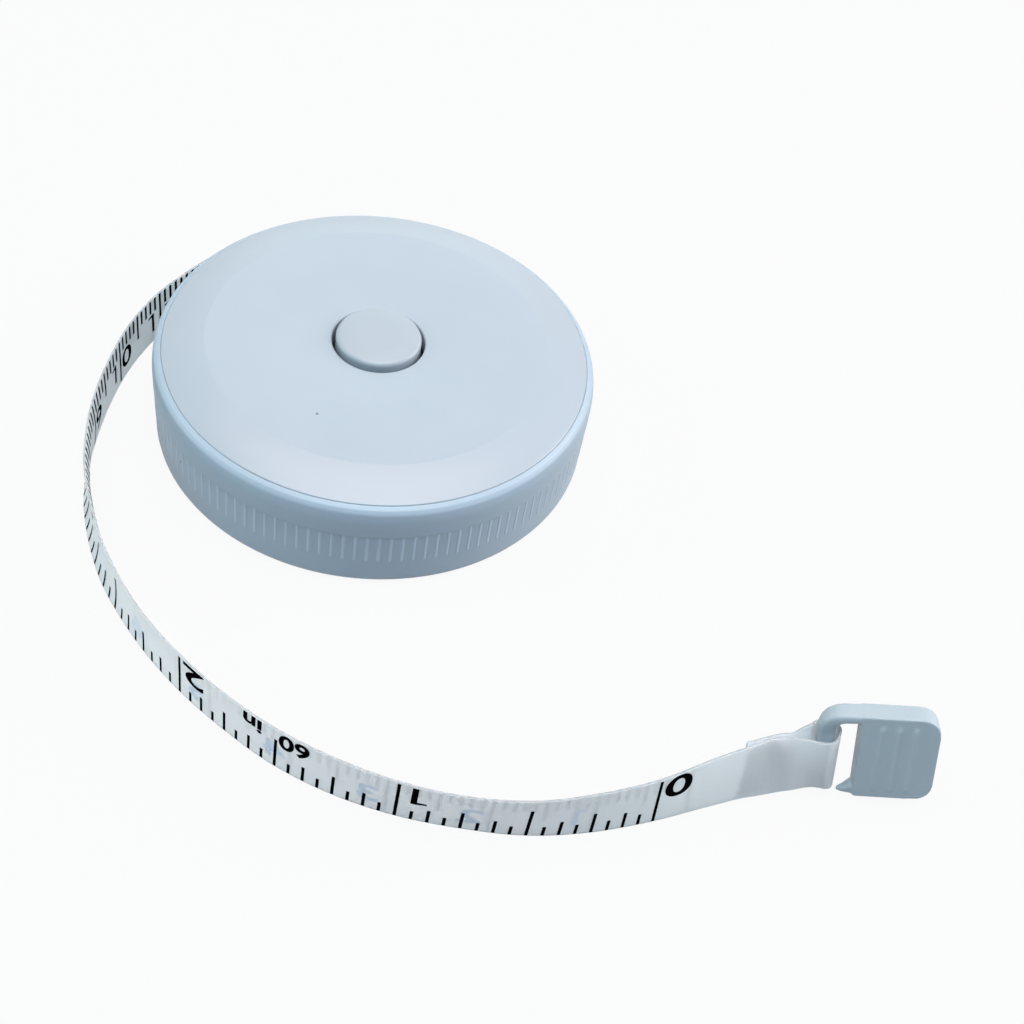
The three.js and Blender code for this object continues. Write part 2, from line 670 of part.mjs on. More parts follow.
// Free tape: along its route, round the tab's leg and back against itself, where it is stuck down.
function freeTape() {
  const inTab = (x, y, z) => tab.localToWorld(new THREE.Vector3(x, y, z));
  const legAxis = inTab(0, 1, 0).sub(inTab(0, 0, 0));
  const right = inTab(1, 0, 0).sub(inTab(0, 0, 0));
  const back = inTab(0, 0, -1).sub(inTab(0, 0, 0));
  const legMiddle = -tabWindow - tabLegWidth / 2;
  const loopCentre = inTab(legMiddle, loopFoot + tapeWidth / 2, -tabThickness / 2);
  const legCorner = (Math.hypot(tabLegWidth, tabLegDepth) - tabEdgeRound) / 2;
  const loopRadius = legCorner + loopGap + tapeThickness / 2;
  const fromLoop = (x, y) => loopCentre.clone().addScaledVector(right, x).addScaledVector(back, y);
  const layerStep = layerGap + tapeThickness;
  const middles = [onRun(exitRun + joinGap)];
  const acrosses = [upright];
  tapeRoute.forEach(([x, y, bottom, leanX, leanY]) => {
    const rise = Math.sqrt(tapeWidth ** 2 - leanX ** 2 - leanY ** 2);
    middles.push(new THREE.Vector3(x, y, bottom + rise / 2));
    acrosses.push(new THREE.Vector3(leanX, leanY, rise).divideScalar(tapeWidth));
  });
  const along = middles.at(-1).clone().sub(middles.at(-2)).normalize();
  const inward = acrosses.at(-1).clone().cross(along);
  const foldEnd = middles.at(-1).clone().addScaledVector(inward, layerStep);
  foldEnd.addScaledVector(along, -foldReach).addScaledVector(acrosses.at(-1), foldRise);
  tapeLoop.forEach(([x, y, flare, rise]) => {
    const outward = new THREE.Vector3().addScaledVector(right, x).addScaledVector(back, y).normalize();
    middles.push(fromLoop(x * loopRadius, y * loopRadius).addScaledVector(legAxis, rise));
    acrosses.push(legAxis.clone().addScaledVector(outward, flare).normalize());
  });
  middles.push(foldEnd);
  acrosses.push(acrosses[tapeRoute.length]);
  const middleCurve = new THREE.CatmullRomCurve3(middles, false, 'centripetal');
  const acrossCurve = new THREE.CatmullRomCurve3(acrosses, false, 'catmullrom');
  const stations = [];
  const loopStart = tapeRoute.length / (middles.length - 1);
  const sample = (t) => stations.push({
    middle: middleCurve.getPoint(t),
    across: acrossCurve.getPoint(t).normalize(),
  });
  for (let i = 0; i < routeStepCount; i += 1) sample((loopStart * i) / routeStepCount);
  for (let i = 0; i <= loopStepCount; i += 1) sample(loopStart + ((1 - loopStart) * i) / loopStepCount);
  let least = Infinity;
  const apart = 3 * loopRadius;
  stations.forEach((a, i) => {
    let length = 0;
    for (let j = i + 1; j < stations.length; j += 1) {
      length += stations[j].middle.distanceTo(stations[j - 1].middle);
      const space = a.middle.distanceTo(stations[j].middle) - tapeThickness;
      if (length > apart) least = Math.min(least, space);
    }
  });
  console.log(`free tape: length ${middleCurve.getLength().toFixed(1)} mm`);
  console.log(`free tape: least gap to itself ${least.toFixed(2)} mm`);
  return toSolid(ribbon(stations, tapeWidth, tapeThickness));
}

const shellBlue = 0xb9cbd8;
const reelWhite = 0xe8e8e2;
const steel = 0x9a9da0;
const tapeWhite = 0xe4e6e8;

const tapeMeasure = new THREE.Group();
tapeMeasure.add(
  piece('base_cup', baseCup(), shellBlue, 0.45, 0),
  piece('top_cover', topCover(), shellBlue, 0.42, 0),
  piece('push_button', pushButton(), shellBlue, 0.4, 0),
  piece('button_spring', buttonSpring(), steel, 0.35, 0.9),
  piece('reel_drum', reelDrum(), reelWhite, 0.5, 0),
  piece('reel_lower_flange', reelDisc(), reelWhite, 0.5, 0),
  piece('mainspring', mainspring(), steel, 0.35, 0.9),
  piece('tape_roll', tapeRoll(), tapeWhite, 0.8, 0),
  piece('tape_lead_in', tapeLeadIn(), tapeWhite, 0.8, 0),
  piece('tape_free_stretch', freeTape(), tapeWhite, 0.8, 0),
  tabStand,
);

export default tapeMeasure;
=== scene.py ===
# Retractable cloth tape measure: a round plastic case with a push button, a spring-driven reel of
# narrow coated tape, and an open plastic tab at the tape's end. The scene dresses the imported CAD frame.

import math

import bmesh
import bpy
import numpy as np
from mathutils import Matrix, Vector


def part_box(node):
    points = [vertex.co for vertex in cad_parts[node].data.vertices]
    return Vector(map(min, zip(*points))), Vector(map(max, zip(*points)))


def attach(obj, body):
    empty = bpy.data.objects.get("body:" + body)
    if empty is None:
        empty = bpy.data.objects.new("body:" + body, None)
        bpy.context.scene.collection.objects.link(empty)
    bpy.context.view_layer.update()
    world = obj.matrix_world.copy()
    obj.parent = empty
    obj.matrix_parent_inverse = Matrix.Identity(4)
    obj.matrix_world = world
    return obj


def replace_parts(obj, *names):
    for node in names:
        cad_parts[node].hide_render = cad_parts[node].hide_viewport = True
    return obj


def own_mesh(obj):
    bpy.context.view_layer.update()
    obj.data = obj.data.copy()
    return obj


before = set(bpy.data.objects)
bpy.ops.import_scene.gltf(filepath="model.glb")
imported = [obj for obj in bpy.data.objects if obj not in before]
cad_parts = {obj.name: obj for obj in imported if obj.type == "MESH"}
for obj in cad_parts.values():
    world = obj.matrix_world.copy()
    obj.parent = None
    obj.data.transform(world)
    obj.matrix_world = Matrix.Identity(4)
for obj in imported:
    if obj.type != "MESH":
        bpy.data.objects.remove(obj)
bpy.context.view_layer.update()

# Camera: a hand-held view from in front of the case and above it, turned a little clockwise.
MM = 0.001
eye = Vector((0, -126.1, 125.63)) * MM
turn_right = 0.147
look_down = 0.831
tilt_clockwise = 0.194
camera_data = bpy.data.cameras.new("viewpoint")
camera_data.sensor_width = 36
camera_data.lens = 52.23
camera_data.clip_start = 0.01
camera = bpy.data.objects.new("viewpoint", camera_data)
camera.matrix_world = (
    Matrix.Translation(eye)
    @ Matrix.Rotation(-turn_right, 4, "Z")
    @ Matrix.Rotation(math.pi / 2 - look_down, 4, "X")
    @ Matrix.Rotation(tilt_clockwise, 4, "Z")
)
bpy.context.scene.collection.objects.link(camera)
bpy.context.scene.camera = camera
bpy.context.scene.view_settings.view_transform = "Standard"


# Stage: a matt white table that shows white to the lens and keeps a soft shadow. A large warm panel
# hangs overhead, with smaller panels in front, right, left and behind, in a dim even room.
def place(tree, kind, inputs=None, **settings):
    """A node with its settings made and its inputs set, or linked where a socket is given."""
    made = tree.nodes.new(kind)
    for name, value in settings.items():
        setattr(made, name, value)
    for key, value in (inputs or {}).items():
        if isinstance(value, bpy.types.NodeSocket):
            tree.links.new(value, made.inputs[key])
        else:
            made.inputs[key].default_value = value
    return made


def reckon(tree, operation, *values):
    """The result of one sum on numbers or sockets."""
    return place(tree, "ShaderNodeMath", dict(enumerate(values)), operation=operation).outputs[0]


def seen_directly(tree):
    """One for rays from the lens and for mirrored or refracted ones, zero for the light's own."""
    path = place(tree, "ShaderNodeLightPath").outputs
    mirrored = reckon(tree, "MAXIMUM", path["Is Camera Ray"], path["Is Glossy Ray"])
    return reckon(tree, "MAXIMUM", mirrored, path["Is Transmission Ray"])


table_white = (0.34, 0.35, 0.37, 1)
table_glow = 0.93
table_reach = 3
table_material = bpy.data.materials.new("white_table")
table_material.use_nodes = True
table_nodes = table_material.node_tree
table_nodes.nodes.clear()
table_matt = place(table_nodes, "ShaderNodeBsdfDiffuse", {"Color": table_white})
table_shine = place(table_nodes, "ShaderNodeEmission", {"Color": (1, 1, 1, 1), "Strength": 1.0})
table_share = reckon(table_nodes, "MULTIPLY", seen_directly(table_nodes), table_glow)
table_mix = place(table_nodes, "ShaderNodeMixShader", {0: table_share, 1: table_matt.outputs[0],
                                                       2: table_shine.outputs[0]})
place(table_nodes, "ShaderNodeOutputMaterial", {"Surface": table_mix.outputs[0]})
table_corners = [(x * table_reach, y * table_reach, 0) for x, y in ((-1, -1), (1, -1), (1, 1), (-1, 1))]
table_mesh = bpy.data.meshes.new("table")
table_mesh.from_pydata(table_corners, [], [(0, 1, 2, 3)])
table_mesh.materials.append(table_material)
table = bpy.data.objects.new("table", table_mesh)
bpy.context.scene.collection.objects.link(table)

room_light = 0.02
room = bpy.data.worlds.new("room")
room.use_nodes = True
room_nodes = room.node_tree
room_nodes.nodes.clear()
room_strength = place(room_nodes, "ShaderNodeMapRange", {0: seen_directly(room_nodes), 3: room_light, 4: 1.0})
room_shine = place(room_nodes, "ShaderNodeBackground", {"Color": (1, 1, 1, 1),
                                                        "Strength": room_strength.outputs[0]})
place(room_nodes, "ShaderNodeOutputWorld", {"Surface": room_shine.outputs[0]})
bpy.context.scene.world = room

lamps = {
    "panel_overhead": {"stands": (0, 0.03, 0.6), "size": 0.5, "power": 3.45, "glow": (1, 0.79, 0.71)},
    "panel_back": {"stands": (0, 0.6, 0.3), "size": 0.4, "power": 0.45, "glow": (0.6, 1, 0.95)},
    "panel_right": {"stands": (0.6, 0.1, 0.3), "size": 0.4, "power": 3.8, "glow": (1, 1, 1)},
    "panel_left": {"stands": (-0.6, 0, 0.3), "size": 0.4, "power": 1.95, "glow": (0.77, 1, 1)},
    "panel_front": {"stands": (0, -0.25, 0.58), "size": 0.4, "power": 2.6, "glow": (0.49, 0.81, 1)},
}
for name, lamp in lamps.items():
    light = bpy.data.lights.new(name, "AREA")
    light.size = lamp["size"]
    light.energy = lamp["power"]
    light.color = lamp["glow"]
    panel = bpy.data.objects.new(name, light)
    stands = Vector(lamp["stands"])
    panel.matrix_world = Matrix.Translation(stands) @ stands.to_track_quat("Z", "Y").to_matrix().to_4x4()
    bpy.context.scene.collection.objects.link(panel)


# Case cup: the lower half of the case, moulded in pale blue-grey plastic in one piece with its
# ribbed grip, the ledge under the lid, the slot for the tape and the hollow arbor that the reel runs on.
def moulded_skin():
    """Shader group for moulded plastic: cloudy tone, fine spark-eroded grain and a few dark specks."""
    group = bpy.data.node_groups.new("moulded_skin", "ShaderNodeTree")
    group.interface.new_socket("Vector", in_out="INPUT", socket_type="NodeSocketVector")
    group.interface.new_socket("Grain Scale", in_out="INPUT", socket_type="NodeSocketFloat")
    for name in ("Tone", "Grain", "Speck"):
        group.interface.new_socket(name, in_out="OUTPUT", socket_type="NodeSocketFloat")
    given = place(group, "NodeGroupInput").outputs
    vector = given["Vector"]
    speck_size = 0.024
    cloud = place(group, "ShaderNodeTexNoise", {"Vector": vector, "Scale": 160.0, "Detail": 4.0})
    grain = place(group, "ShaderNodeTexNoise", {"Vector": vector, "Scale": given["Grain Scale"],
                                                "Detail": 2.0})
    cell = place(group, "ShaderNodeTexVoronoi", {"Vector": vector, "Scale": 150.0})
    speck = reckon(group, "LESS_THAN", cell.outputs["Distance"], speck_size)
    place(group, "NodeGroupOutput", {"Tone": cloud.outputs[0], "Grain": grain.outputs[0], "Speck": speck})
    return group


def blank_material(name):
    """A new material, with its node tree and its shader."""
    material = bpy.data.materials.new(name)
    material.use_nodes = True
    return material, material.node_tree, material.node_tree.nodes["Principled BSDF"]


def blend(tree, share, start, end):
    """A colour between two others, by a share."""
    return place(tree, "ShaderNodeMix", {0: share, 6: start, 7: end}, data_type="RGBA").outputs[2]


def surfaced(tree, shader, colour, gloss, relief, strength, depth):
    """Leads a colour, a roughness and a fine relief, with its depth in millimetres, into a shader."""
    bump = place(tree, "ShaderNodeBump", {"Height": relief, "Strength": strength, "Distance": depth * MM})
    tree.links.new(colour, shader.inputs["Base Color"])
    tree.links.new(gloss, shader.inputs["Roughness"])
    tree.links.new(bump.outputs[0], shader.inputs["Normal"])


skin_group = moulded_skin()
speck_grey = (0.12, 0.13, 0.14, 1)
gloss_play = 0.02


def moulded_plastic(name, pale, deep, roughness, grain_scale=7000.0, grain_depth=0.012):
    """Satin moulded plastic between a pale and a deep tone of one colour."""
    material, tree, shader = blank_material(name)
    spot = place(tree, "ShaderNodeTexCoord").outputs["Object"]
    skin = place(tree, "ShaderNodeGroup", {"Vector": spot, "Grain Scale": grain_scale},
                 node_tree=skin_group).outputs
    tint = blend(tree, skin["Tone"], (*deep, 1), (*pale, 1))
    specked = blend(tree, skin["Speck"], tint, speck_grey)
    gloss = place(tree, "ShaderNodeMapRange", {0: skin["Tone"], 1: 0.3, 2: 0.7, 3: roughness - gloss_play,
                                               4: roughness + gloss_play})
    surfaced(tree, shader, specked, gloss.outputs[0], skin["Grain"], 0.35, grain_depth)
    return material


def softened(corners, steps=5):
    """The outline through corners of radius, height and fillet, with each corner rounded."""
    count = len(corners)
    closed = corners[0][0] > 0
    points = []
    for i, (x, y, fillet) in enumerate(corners):
        here = Vector((x, y))
        if fillet == 0 or (not closed and i in (0, count - 1)):
            points.append(here)
            continue
        before = (Vector(corners[i - 1][:2]) - here).normalized()
        after = (Vector(corners[(i + 1) % count][:2]) - here).normalized()
        half = before.angle(after) / 2
        centre = here + (before + after).normalized() * fillet / math.sin(half)
        start = here + before * fillet / math.tan(half) - centre
        end = here + after * fillet / math.tan(half) - centre
        first = math.atan2(start.y, start.x)
        sweep = (math.atan2(end.y, end.x) - first + math.pi) % (2 * math.pi) - math.pi
        for k in range(steps + 1):
            angle = first + sweep * k / steps
            points.append(centre + fillet * Vector((math.cos(angle), math.sin(angle))))
    return points


def turned(name, corners, facets):
    """An object whose outline, in millimetres, is turned about the vertical axis."""
    form = bmesh.new()
    rings = []
    for point in softened(corners):
        if point.x < 1e-6:
            rings.append([form.verts.new((0, 0, point.y * MM))] * facets)
            continue
        angles = [2 * math.pi * k / facets for k in range(facets)]
        rings.append([form.verts.new((point.x * math.cos(a) * MM, point.x * math.sin(a) * MM, point.y * MM))
                      for a in angles])
    following = rings[1:] + (rings[:1] if corners[0][0] > 0 else [])
    for lower, upper in zip(rings, following):
        for k in range(facets):
            form.faces.new(dict.fromkeys((lower[k - 1], lower[k], upper[k], upper[k - 1])))
    bmesh.ops.recalc_face_normals(form, faces=form.faces)
    return settled(name, form)


def settled(name, form):
    """The object of a finished bmesh, linked into the scene."""
    mesh = bpy.data.meshes.new(name)
    form.to_mesh(mesh)
    form.free()
    piece = bpy.data.objects.new(name, mesh)
    bpy.context.scene.collection.objects.link(piece)
    return piece


def block(angle, inner, outer, width, bottom, top):
    """A block on a radius, in millimetres, as a cutting or joining tool."""
    form = bmesh.new()
    bmesh.ops.create_cube(form, size=1)
    bmesh.ops.transform(form, verts=form.verts, matrix=(
        Matrix.Scale(MM, 4) @ Matrix.Rotation(angle, 4, "Z")
        @ Matrix.Translation(((inner + outer) / 2, 0, (bottom + top) / 2))
        @ Matrix.Diagonal((outer - inner, width, top - bottom, 1))
    ))
    return settled("tool", form)


def worked(piece, tools, operation):
    """Cuts the tools from a piece or joins them to it, and throws the tools away."""
    for tool in tools:
        step = piece.modifiers.new("work", "BOOLEAN")
        step.object = tool
        step.operation = operation
        step.solver = "EXACT"
    plain(piece)
    for tool in tools:
        bpy.data.objects.remove(tool)


def plain(piece):
    """Turns what a piece's modifiers make into its own mesh."""
    graph = bpy.context.evaluated_depsgraph_get()
    made = bpy.data.meshes.new_from_object(piece.evaluated_get(graph), depsgraph=graph)
    piece.modifiers.clear()
    piece.data = made


def smoothed(piece, crease=32):
    """Smooth shading that keeps edges sharper than the crease angle."""
    piece.data.shade_smooth()
    piece.data.set_sharp_from_angle(angle=math.radians(crease))


def shape_tree(name, sockets):
    """An empty Geometry Nodes tree with the named inputs, and its input sockets to read from."""
    tree = bpy.data.node_groups.new(name, "GeometryNodeTree")
    for socket, kind in sockets.items():
        tree.interface.new_socket(socket, in_out="INPUT", socket_type=f"NodeSocket{kind}")
    tree.interface.new_socket("Shape", in_out="OUTPUT", socket_type="NodeSocketGeometry")
    return tree, place(tree, "NodeGroupInput").outputs


def led_out(tree, geometry, finish):
    """Makes a tree's instances real, gives them their finish and leads them out."""
    real = place(tree, "GeometryNodeRealizeInstances", {"Geometry": geometry})
    dressed = place(tree, "GeometryNodeSetMaterial", {"Geometry": real.outputs[0], "Material": finish})
    place(tree, "NodeGroupOutput", {"Shape": dressed.outputs[0]})


def rib_ring():
    """Geometry Nodes tree that sets low upright ribs in a ring."""
    lengths = dict.fromkeys(("Radius", "Middle", "Length", "Width"), "Float")
    tree, given = shape_tree("rib_ring", {"Count": "Int", **lengths, "Finish": "Material"})
    bar = place(tree, "GeometryNodeMeshCylinder", {"Vertices": 24, "Radius": 0.5, "Depth": 1.0})
    size = place(tree, "ShaderNodeCombineXYZ", {0: given["Width"], 1: given["Width"], 2: given["Length"]})
    shaped = place(tree, "GeometryNodeTransform", {"Geometry": bar.outputs[0], "Scale": size.outputs[0]})
    ring = place(tree, "GeometryNodeMeshCircle", {"Vertices": given["Count"], "Radius": given["Radius"]})
    lift = place(tree, "ShaderNodeCombineXYZ", {2: given["Middle"]})
    raised = place(tree, "GeometryNodeSetPosition", {"Geometry": ring.outputs[0], "Offset": lift.outputs[0]})
    spot = place(tree, "GeometryNodeInputPosition")
    flat = place(tree, "ShaderNodeVectorMath", {0: spot.outputs[0], 1: (1, 1, 0)}, operation="MULTIPLY")
    facing = place(tree, "FunctionNodeAlignRotationToVector", {"Vector": flat.outputs[0]}, axis="X",
                   pivot_axis="Z")
    ribs = place(tree, "GeometryNodeInstanceOnPoints", {"Points": raised.outputs[0],
                                                        "Instance": shaped.outputs[0],
                                                        "Rotation": facing.outputs[0]})
    led_out(tree, ribs.outputs[0], given["Finish"])
    return tree


def grown(piece, tree, values):
    """Runs a Geometry Nodes tree on a piece with named values, and keeps the result as its mesh."""
    step = piece.modifiers.new("grow", "NODES")
    step.node_group = tree
    for socket in tree.interface.items_tree:
        if socket.in_out == "INPUT" and socket.name in values:
            step[socket.identifier] = values[socket.name]
    plain(piece)


def cad_span(node):
    """The low and high corners of a CAD node's box, in millimetres."""
    return [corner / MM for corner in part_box(node)]


shell_pale, shell_deep = (0.35, 0.43, 0.505), (0.33, 0.41, 0.485)
shell_satin = moulded_plastic("pale_blue_shell", shell_pale, shell_deep, 0.46)

cup_high = cad_span("base_cup")[1]
lid_low, lid_high = cad_span("top_cover")
case_radius, rim_top = cup_high.x, cup_high.z
rim_inner, rim_crease, rim_fall = case_radius - 1, case_radius - 0.5, 0.3
shoulder_radius, shoulder_height = case_radius - 0.19, rim_top - 0.66
band_radius, band_top = case_radius + 0.03, rim_top - 1.5
ledge = lid_high.z - 2.4
wall_inner, lower_wall = case_radius - 1.5, case_radius - 0.08
grip_bottom, grip_top, grip_step = 3.9, 7.7, 0.06
recess_radius, recess_width, recess_depth = 20.9, 0.4, 0.12
foot_round = 1.3
floor_top = 1.4
arbor_radius, arbor_bore, arbor_top = 8.2, 7.25, 9.5
pin_radius, pin_top = 1.7, 3.4
thrust_inner, thrust_outer, thrust_top = 9.6, 11.0, 1.65
case_facets = 252
case_cup = turned("case_cup", [
    (0, recess_depth, 0), (recess_radius - recess_width, recess_depth, 0), (recess_radius, 0, 0.1),
    (lower_wall, 0, foot_round), (lower_wall, grip_top, 0.04), (band_radius, grip_top + grip_step, 0.08),
    (band_radius, band_top, 5.0), (shoulder_radius, shoulder_height, 0.9),
    (rim_crease, rim_top - rim_fall, 0.4), (rim_inner, rim_top, 0.06),
    (rim_inner, ledge, 0), (wall_inner, ledge, 0.1), (wall_inner, floor_top, 0.5),
    (thrust_outer, floor_top, 0), (thrust_outer, thrust_top, 0.1),
    (thrust_inner, thrust_top, 0.1), (thrust_inner, floor_top, 0),
    (arbor_radius, floor_top, 0.2), (arbor_radius, arbor_top, 0.15),
    (arbor_bore, arbor_top, 0.15), (arbor_bore, floor_top, 0.2),
    (pin_radius, floor_top, 0.2), (pin_radius, pin_top, 0.3), (0, pin_top, 0),
], case_facets)
slot_angle, slot_width, slot_bottom, slot_top = math.radians(91.8), 4.2, 2.5, ledge + 0.3
slot_shape = (slot_angle, wall_inner - 1.5, case_radius + 1.5, slot_width, slot_bottom, slot_top)
slit_angle, slit_width, slit_bottom = math.radians(200), 0.9, 2.65
key_width, key_inner, key_outer, key_top = 1.2, arbor_bore - 0.7, arbor_radius - 0.4, 8.65
worked(case_cup, [
    block(*slot_shape),
    block(slit_angle, arbor_bore - 0.5, arbor_radius + 1, slit_width, slit_bottom, arbor_top + 1),
], "DIFFERENCE")
worked(case_cup, [
    block(math.radians(turn), key_inner, key_outer, key_width, floor_top / 2, key_top)
    for turn in (0, 120, 240)
], "UNION")
case_cup.data.materials.append(shell_satin)
smoothed(case_cup)
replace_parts(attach(case_cup, "case"), "base_cup")
rib_count, rib_width, rib_crest = 126, 0.6, lower_wall + 0.06
# The ribs take a paler copy of the shell plastic: a painted highlight, so that they read as light lines along
# the grip.
rib_highlight_pale, rib_highlight_deep = (0.41, 0.50, 0.59), (0.39, 0.48, 0.57)
grip_ribs = settled("grip_ribs", bmesh.new())
grown(grip_ribs, rib_ring(), {
    "Count": rib_count, "Radius": (rib_crest - rib_width / 2) * MM,
    "Middle": (grip_bottom + grip_top) / 2 * MM, "Length": (grip_top - grip_bottom) * MM,
    "Width": rib_width * MM, "Finish": moulded_plastic("ribs_painted_highlight", rib_highlight_pale, rib_highlight_deep, 0.36),
})
worked(grip_ribs, [block(*slot_shape)], "DIFFERENCE")
smoothed(grip_ribs)
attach(grip_ribs, "case")

# Reel: a white moulded drum under a thin web, with a flange snapped on below, that turns on the cup's
# arbor. The flat steel mainspring inside it is hooked in the arbor's slit and presses on the drum.
reel_pale, reel_deep = (0.80, 0.80, 0.77), (0.74, 0.74, 0.71)
reel_white = moulded_plastic("white_reel", reel_pale, reel_deep, 0.5)
for name in ("reel_drum", "reel_lower_flange"):
    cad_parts[name].material_slots[0].material = reel_white


def spring_steel(name, bright, dull, roughness, marks):
    """Bare spring steel with fine marks, whose scale on each axis sets which way they run."""
    material, tree, shader = blank_material(name)
    spot = place(tree, "ShaderNodeTexCoord").outputs["Object"]
    stretched = place(tree, "ShaderNodeMapping", {"Vector": spot, "Scale": marks}).outputs[0]
    streak = place(tree, "ShaderNodeTexNoise", {"Vector": stretched, "Scale": 1.0, "Detail": 4.0}).outputs[0]
    tint = blend(tree, streak, (*dull, 1), (*bright, 1))
    gloss = place(tree, "ShaderNodeMapRange", {0: streak, 3: roughness + 0.12, 4: roughness - 0.08})
    surfaced(tree, shader, tint, gloss.outputs[0], streak, 0.2, 0.01)
    shader.inputs["Metallic"].default_value = 1
    return material


strip_bright, strip_dull = (0.60, 0.61, 0.63), (0.44, 0.45, 0.47)
rolled_marks = (500, 500, 9000)
strip_steel = spring_steel("strip_steel", strip_bright, strip_dull, 0.3, rolled_marks)
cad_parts["mainspring"].material_slots[0].material = strip_steel


# Wound tape: the rest of the coated tape, wound turn on turn on the drum between the flanges. Its outer
# end lies where the tape leaves the roll for the slot.
def woven_coating():
    """Shader group for coated cloth: a fine plain weave under the coating, and a cloudy tone."""
    group = bpy.data.node_groups.new("woven_coating", "ShaderNodeTree")
    group.interface.new_socket("Vector", in_out="INPUT", socket_type="NodeSocketVector")
    for name in ("Weave", "Tone"):
        group.interface.new_socket(name, in_out="OUTPUT", socket_type="NodeSocketFloat")
    vector = place(group, "NodeGroupInput").outputs["Vector"]
    warp, weft = (place(group, "ShaderNodeTexWave", {"Vector": vector, "Scale": 420.0, "Distortion": 0.6},
                        bands_direction=way) for way in "XY")
    weave = reckon(group, "MULTIPLY", warp.outputs[1], weft.outputs[1])
    cloud = place(group, "ShaderNodeTexNoise", {"Vector": vector, "Scale": 260.0, "Detail": 4.0})
    place(group, "NodeGroupOutput", {"Weave": weave, "Tone": cloud.outputs[0]})
    return group


weave_group = woven_coating()


def coated_cloth(name, pale, deep, edge_from=None):
    """White coated cloth. With a height on the tape's own map, what lies above it is the raw cut edge."""
    material, tree, shader = blank_material(name)
    if edge_from is None:
        spot = place(tree, "ShaderNodeTexCoord").outputs["Object"]
    else:
        spot = place(tree, "ShaderNodeUVMap", uv_map="Run").outputs[0]
    cloth = place(tree, "ShaderNodeGroup", {"Vector": spot}, node_tree=weave_group).outputs
    tone = reckon(tree, "MULTIPLY_ADD", cloth["Weave"], 0.35, cloth["Tone"])
    tint = blend(tree, tone, (*deep, 1), (*pale, 1))
    if edge_from is not None:
        height = place(tree, "ShaderNodeSeparateXYZ", {0: spot}).outputs[1]
        tint = blend(tree, reckon(tree, "GREATER_THAN", height, edge_from), tint, (*raw_edge, 1))
    gloss = place(tree, "ShaderNodeMapRange", {0: cloth["Tone"], 3: 0.45, 4: 0.62})
    surfaced(tree, shader, tint, gloss.outputs[0], cloth["Weave"], 0.3, 0.02)
    shader.inputs["Subsurface Weight"].default_value = 1
    shader.inputs["Subsurface Radius"].default_value = (1, 1, 1)
    shader.inputs["Subsurface Scale"].default_value = 1 * MM
    return material


def wound_strip():
    """Geometry Nodes tree that winds a strip into a flat spiral whose outer end lies at an angle."""
    lengths = ("Turns", "Inner", "Outer", "Thickness", "Width", "Middle", "Turned")
    tree, given = shape_tree("wound_strip", dict.fromkeys(lengths, "Float") | {"Finish": "Material"})
    spiral = place(tree, "GeometryNodeCurveSpiral", {"Resolution": 96, "Rotations": given["Turns"],
                                                     "Start Radius": given["Inner"],
                                                     "End Radius": given["Outer"], "Height": 0.0})
    flat = place(tree, "GeometryNodeSetCurveNormal", {"Curve": spiral.outputs[0]}, mode="Z_UP")
    section = place(tree, "GeometryNodeCurvePrimitiveQuadrilateral", {"Width": given["Thickness"],
                                                                      "Height": given["Width"]})
    strip = place(tree, "GeometryNodeCurveToMesh", {"Curve": flat.outputs[0],
                                                    "Profile Curve": section.outputs[0], "Fill Caps": True})
    lift = place(tree, "ShaderNodeCombineXYZ", {2: given["Middle"]})
    turn = place(tree, "ShaderNodeCombineXYZ", {2: given["Turned"]})
    stood = place(tree, "GeometryNodeTransform", {"Geometry": strip.outputs[0],
                                                  "Translation": lift.outputs[0],
                                                  "Rotation": turn.outputs[0]})
    led_out(tree, stood.outputs[0], given["Finish"])
    return tree


tape_width, tape_thickness = 7, 0.2
tape_pale, tape_deep = (0.955, 0.945, 0.985), (0.925, 0.915, 0.96)
raw_edge = (0.36, 0.37, 0.39)
leave_radius, leave_angle, leave_height = 21.0, math.radians(62), 6.3
roll_turns, roll_inner, roll_gap = 12.6, 17.35, 0.012
wound_tape = settled("wound_tape", bmesh.new())
grown(wound_tape, wound_strip(), {
    "Turns": roll_turns, "Inner": roll_inner * MM, "Outer": leave_radius * MM,
    "Thickness": tape_thickness * MM, "Width": tape_width * MM, "Middle": leave_height * MM,
    "Turned": leave_angle - roll_gap - 2 * math.pi * roll_turns,
    "Finish": coated_cloth("wound_cloth", tape_pale, tape_deep),
})
smoothed(wound_tape)
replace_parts(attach(wound_tape, "reel"), "tape_roll")


# Button: a moulded cap with a soft shoulder and a slight crown, on a keyed flange that stays under the
# lid. A coil of round steel wire on the cup's pin pushes it up.
def coiled_wire():
    """Geometry Nodes tree that coils round wire upward."""
    lengths = ("Turns", "Radius", "Wire Radius", "Bottom", "Height")
    tree, given = shape_tree("coiled_wire", dict.fromkeys(lengths, "Float") | {"Finish": "Material"})
    helix = place(tree, "GeometryNodeCurveSpiral", {"Resolution": 32, "Rotations": given["Turns"],
                                                    "Start Radius": given["Radius"],
                                                    "End Radius": given["Radius"], "Height": given["Height"]})
    section = place(tree, "GeometryNodeCurvePrimitiveCircle", {"Resolution": 12,
                                                               "Radius": given["Wire Radius"]})
    wire = place(tree, "GeometryNodeCurveToMesh", {"Curve": helix.outputs[0],
                                                   "Profile Curve": section.outputs[0], "Fill Caps": True})
    lift = place(tree, "ShaderNodeCombineXYZ", {2: given["Bottom"]})
    stood = place(tree, "GeometryNodeTransform", {"Geometry": wire.outputs[0],
                                                  "Translation": lift.outputs[0]})
    led_out(tree, stood.outputs[0], given["Finish"])
    return tree


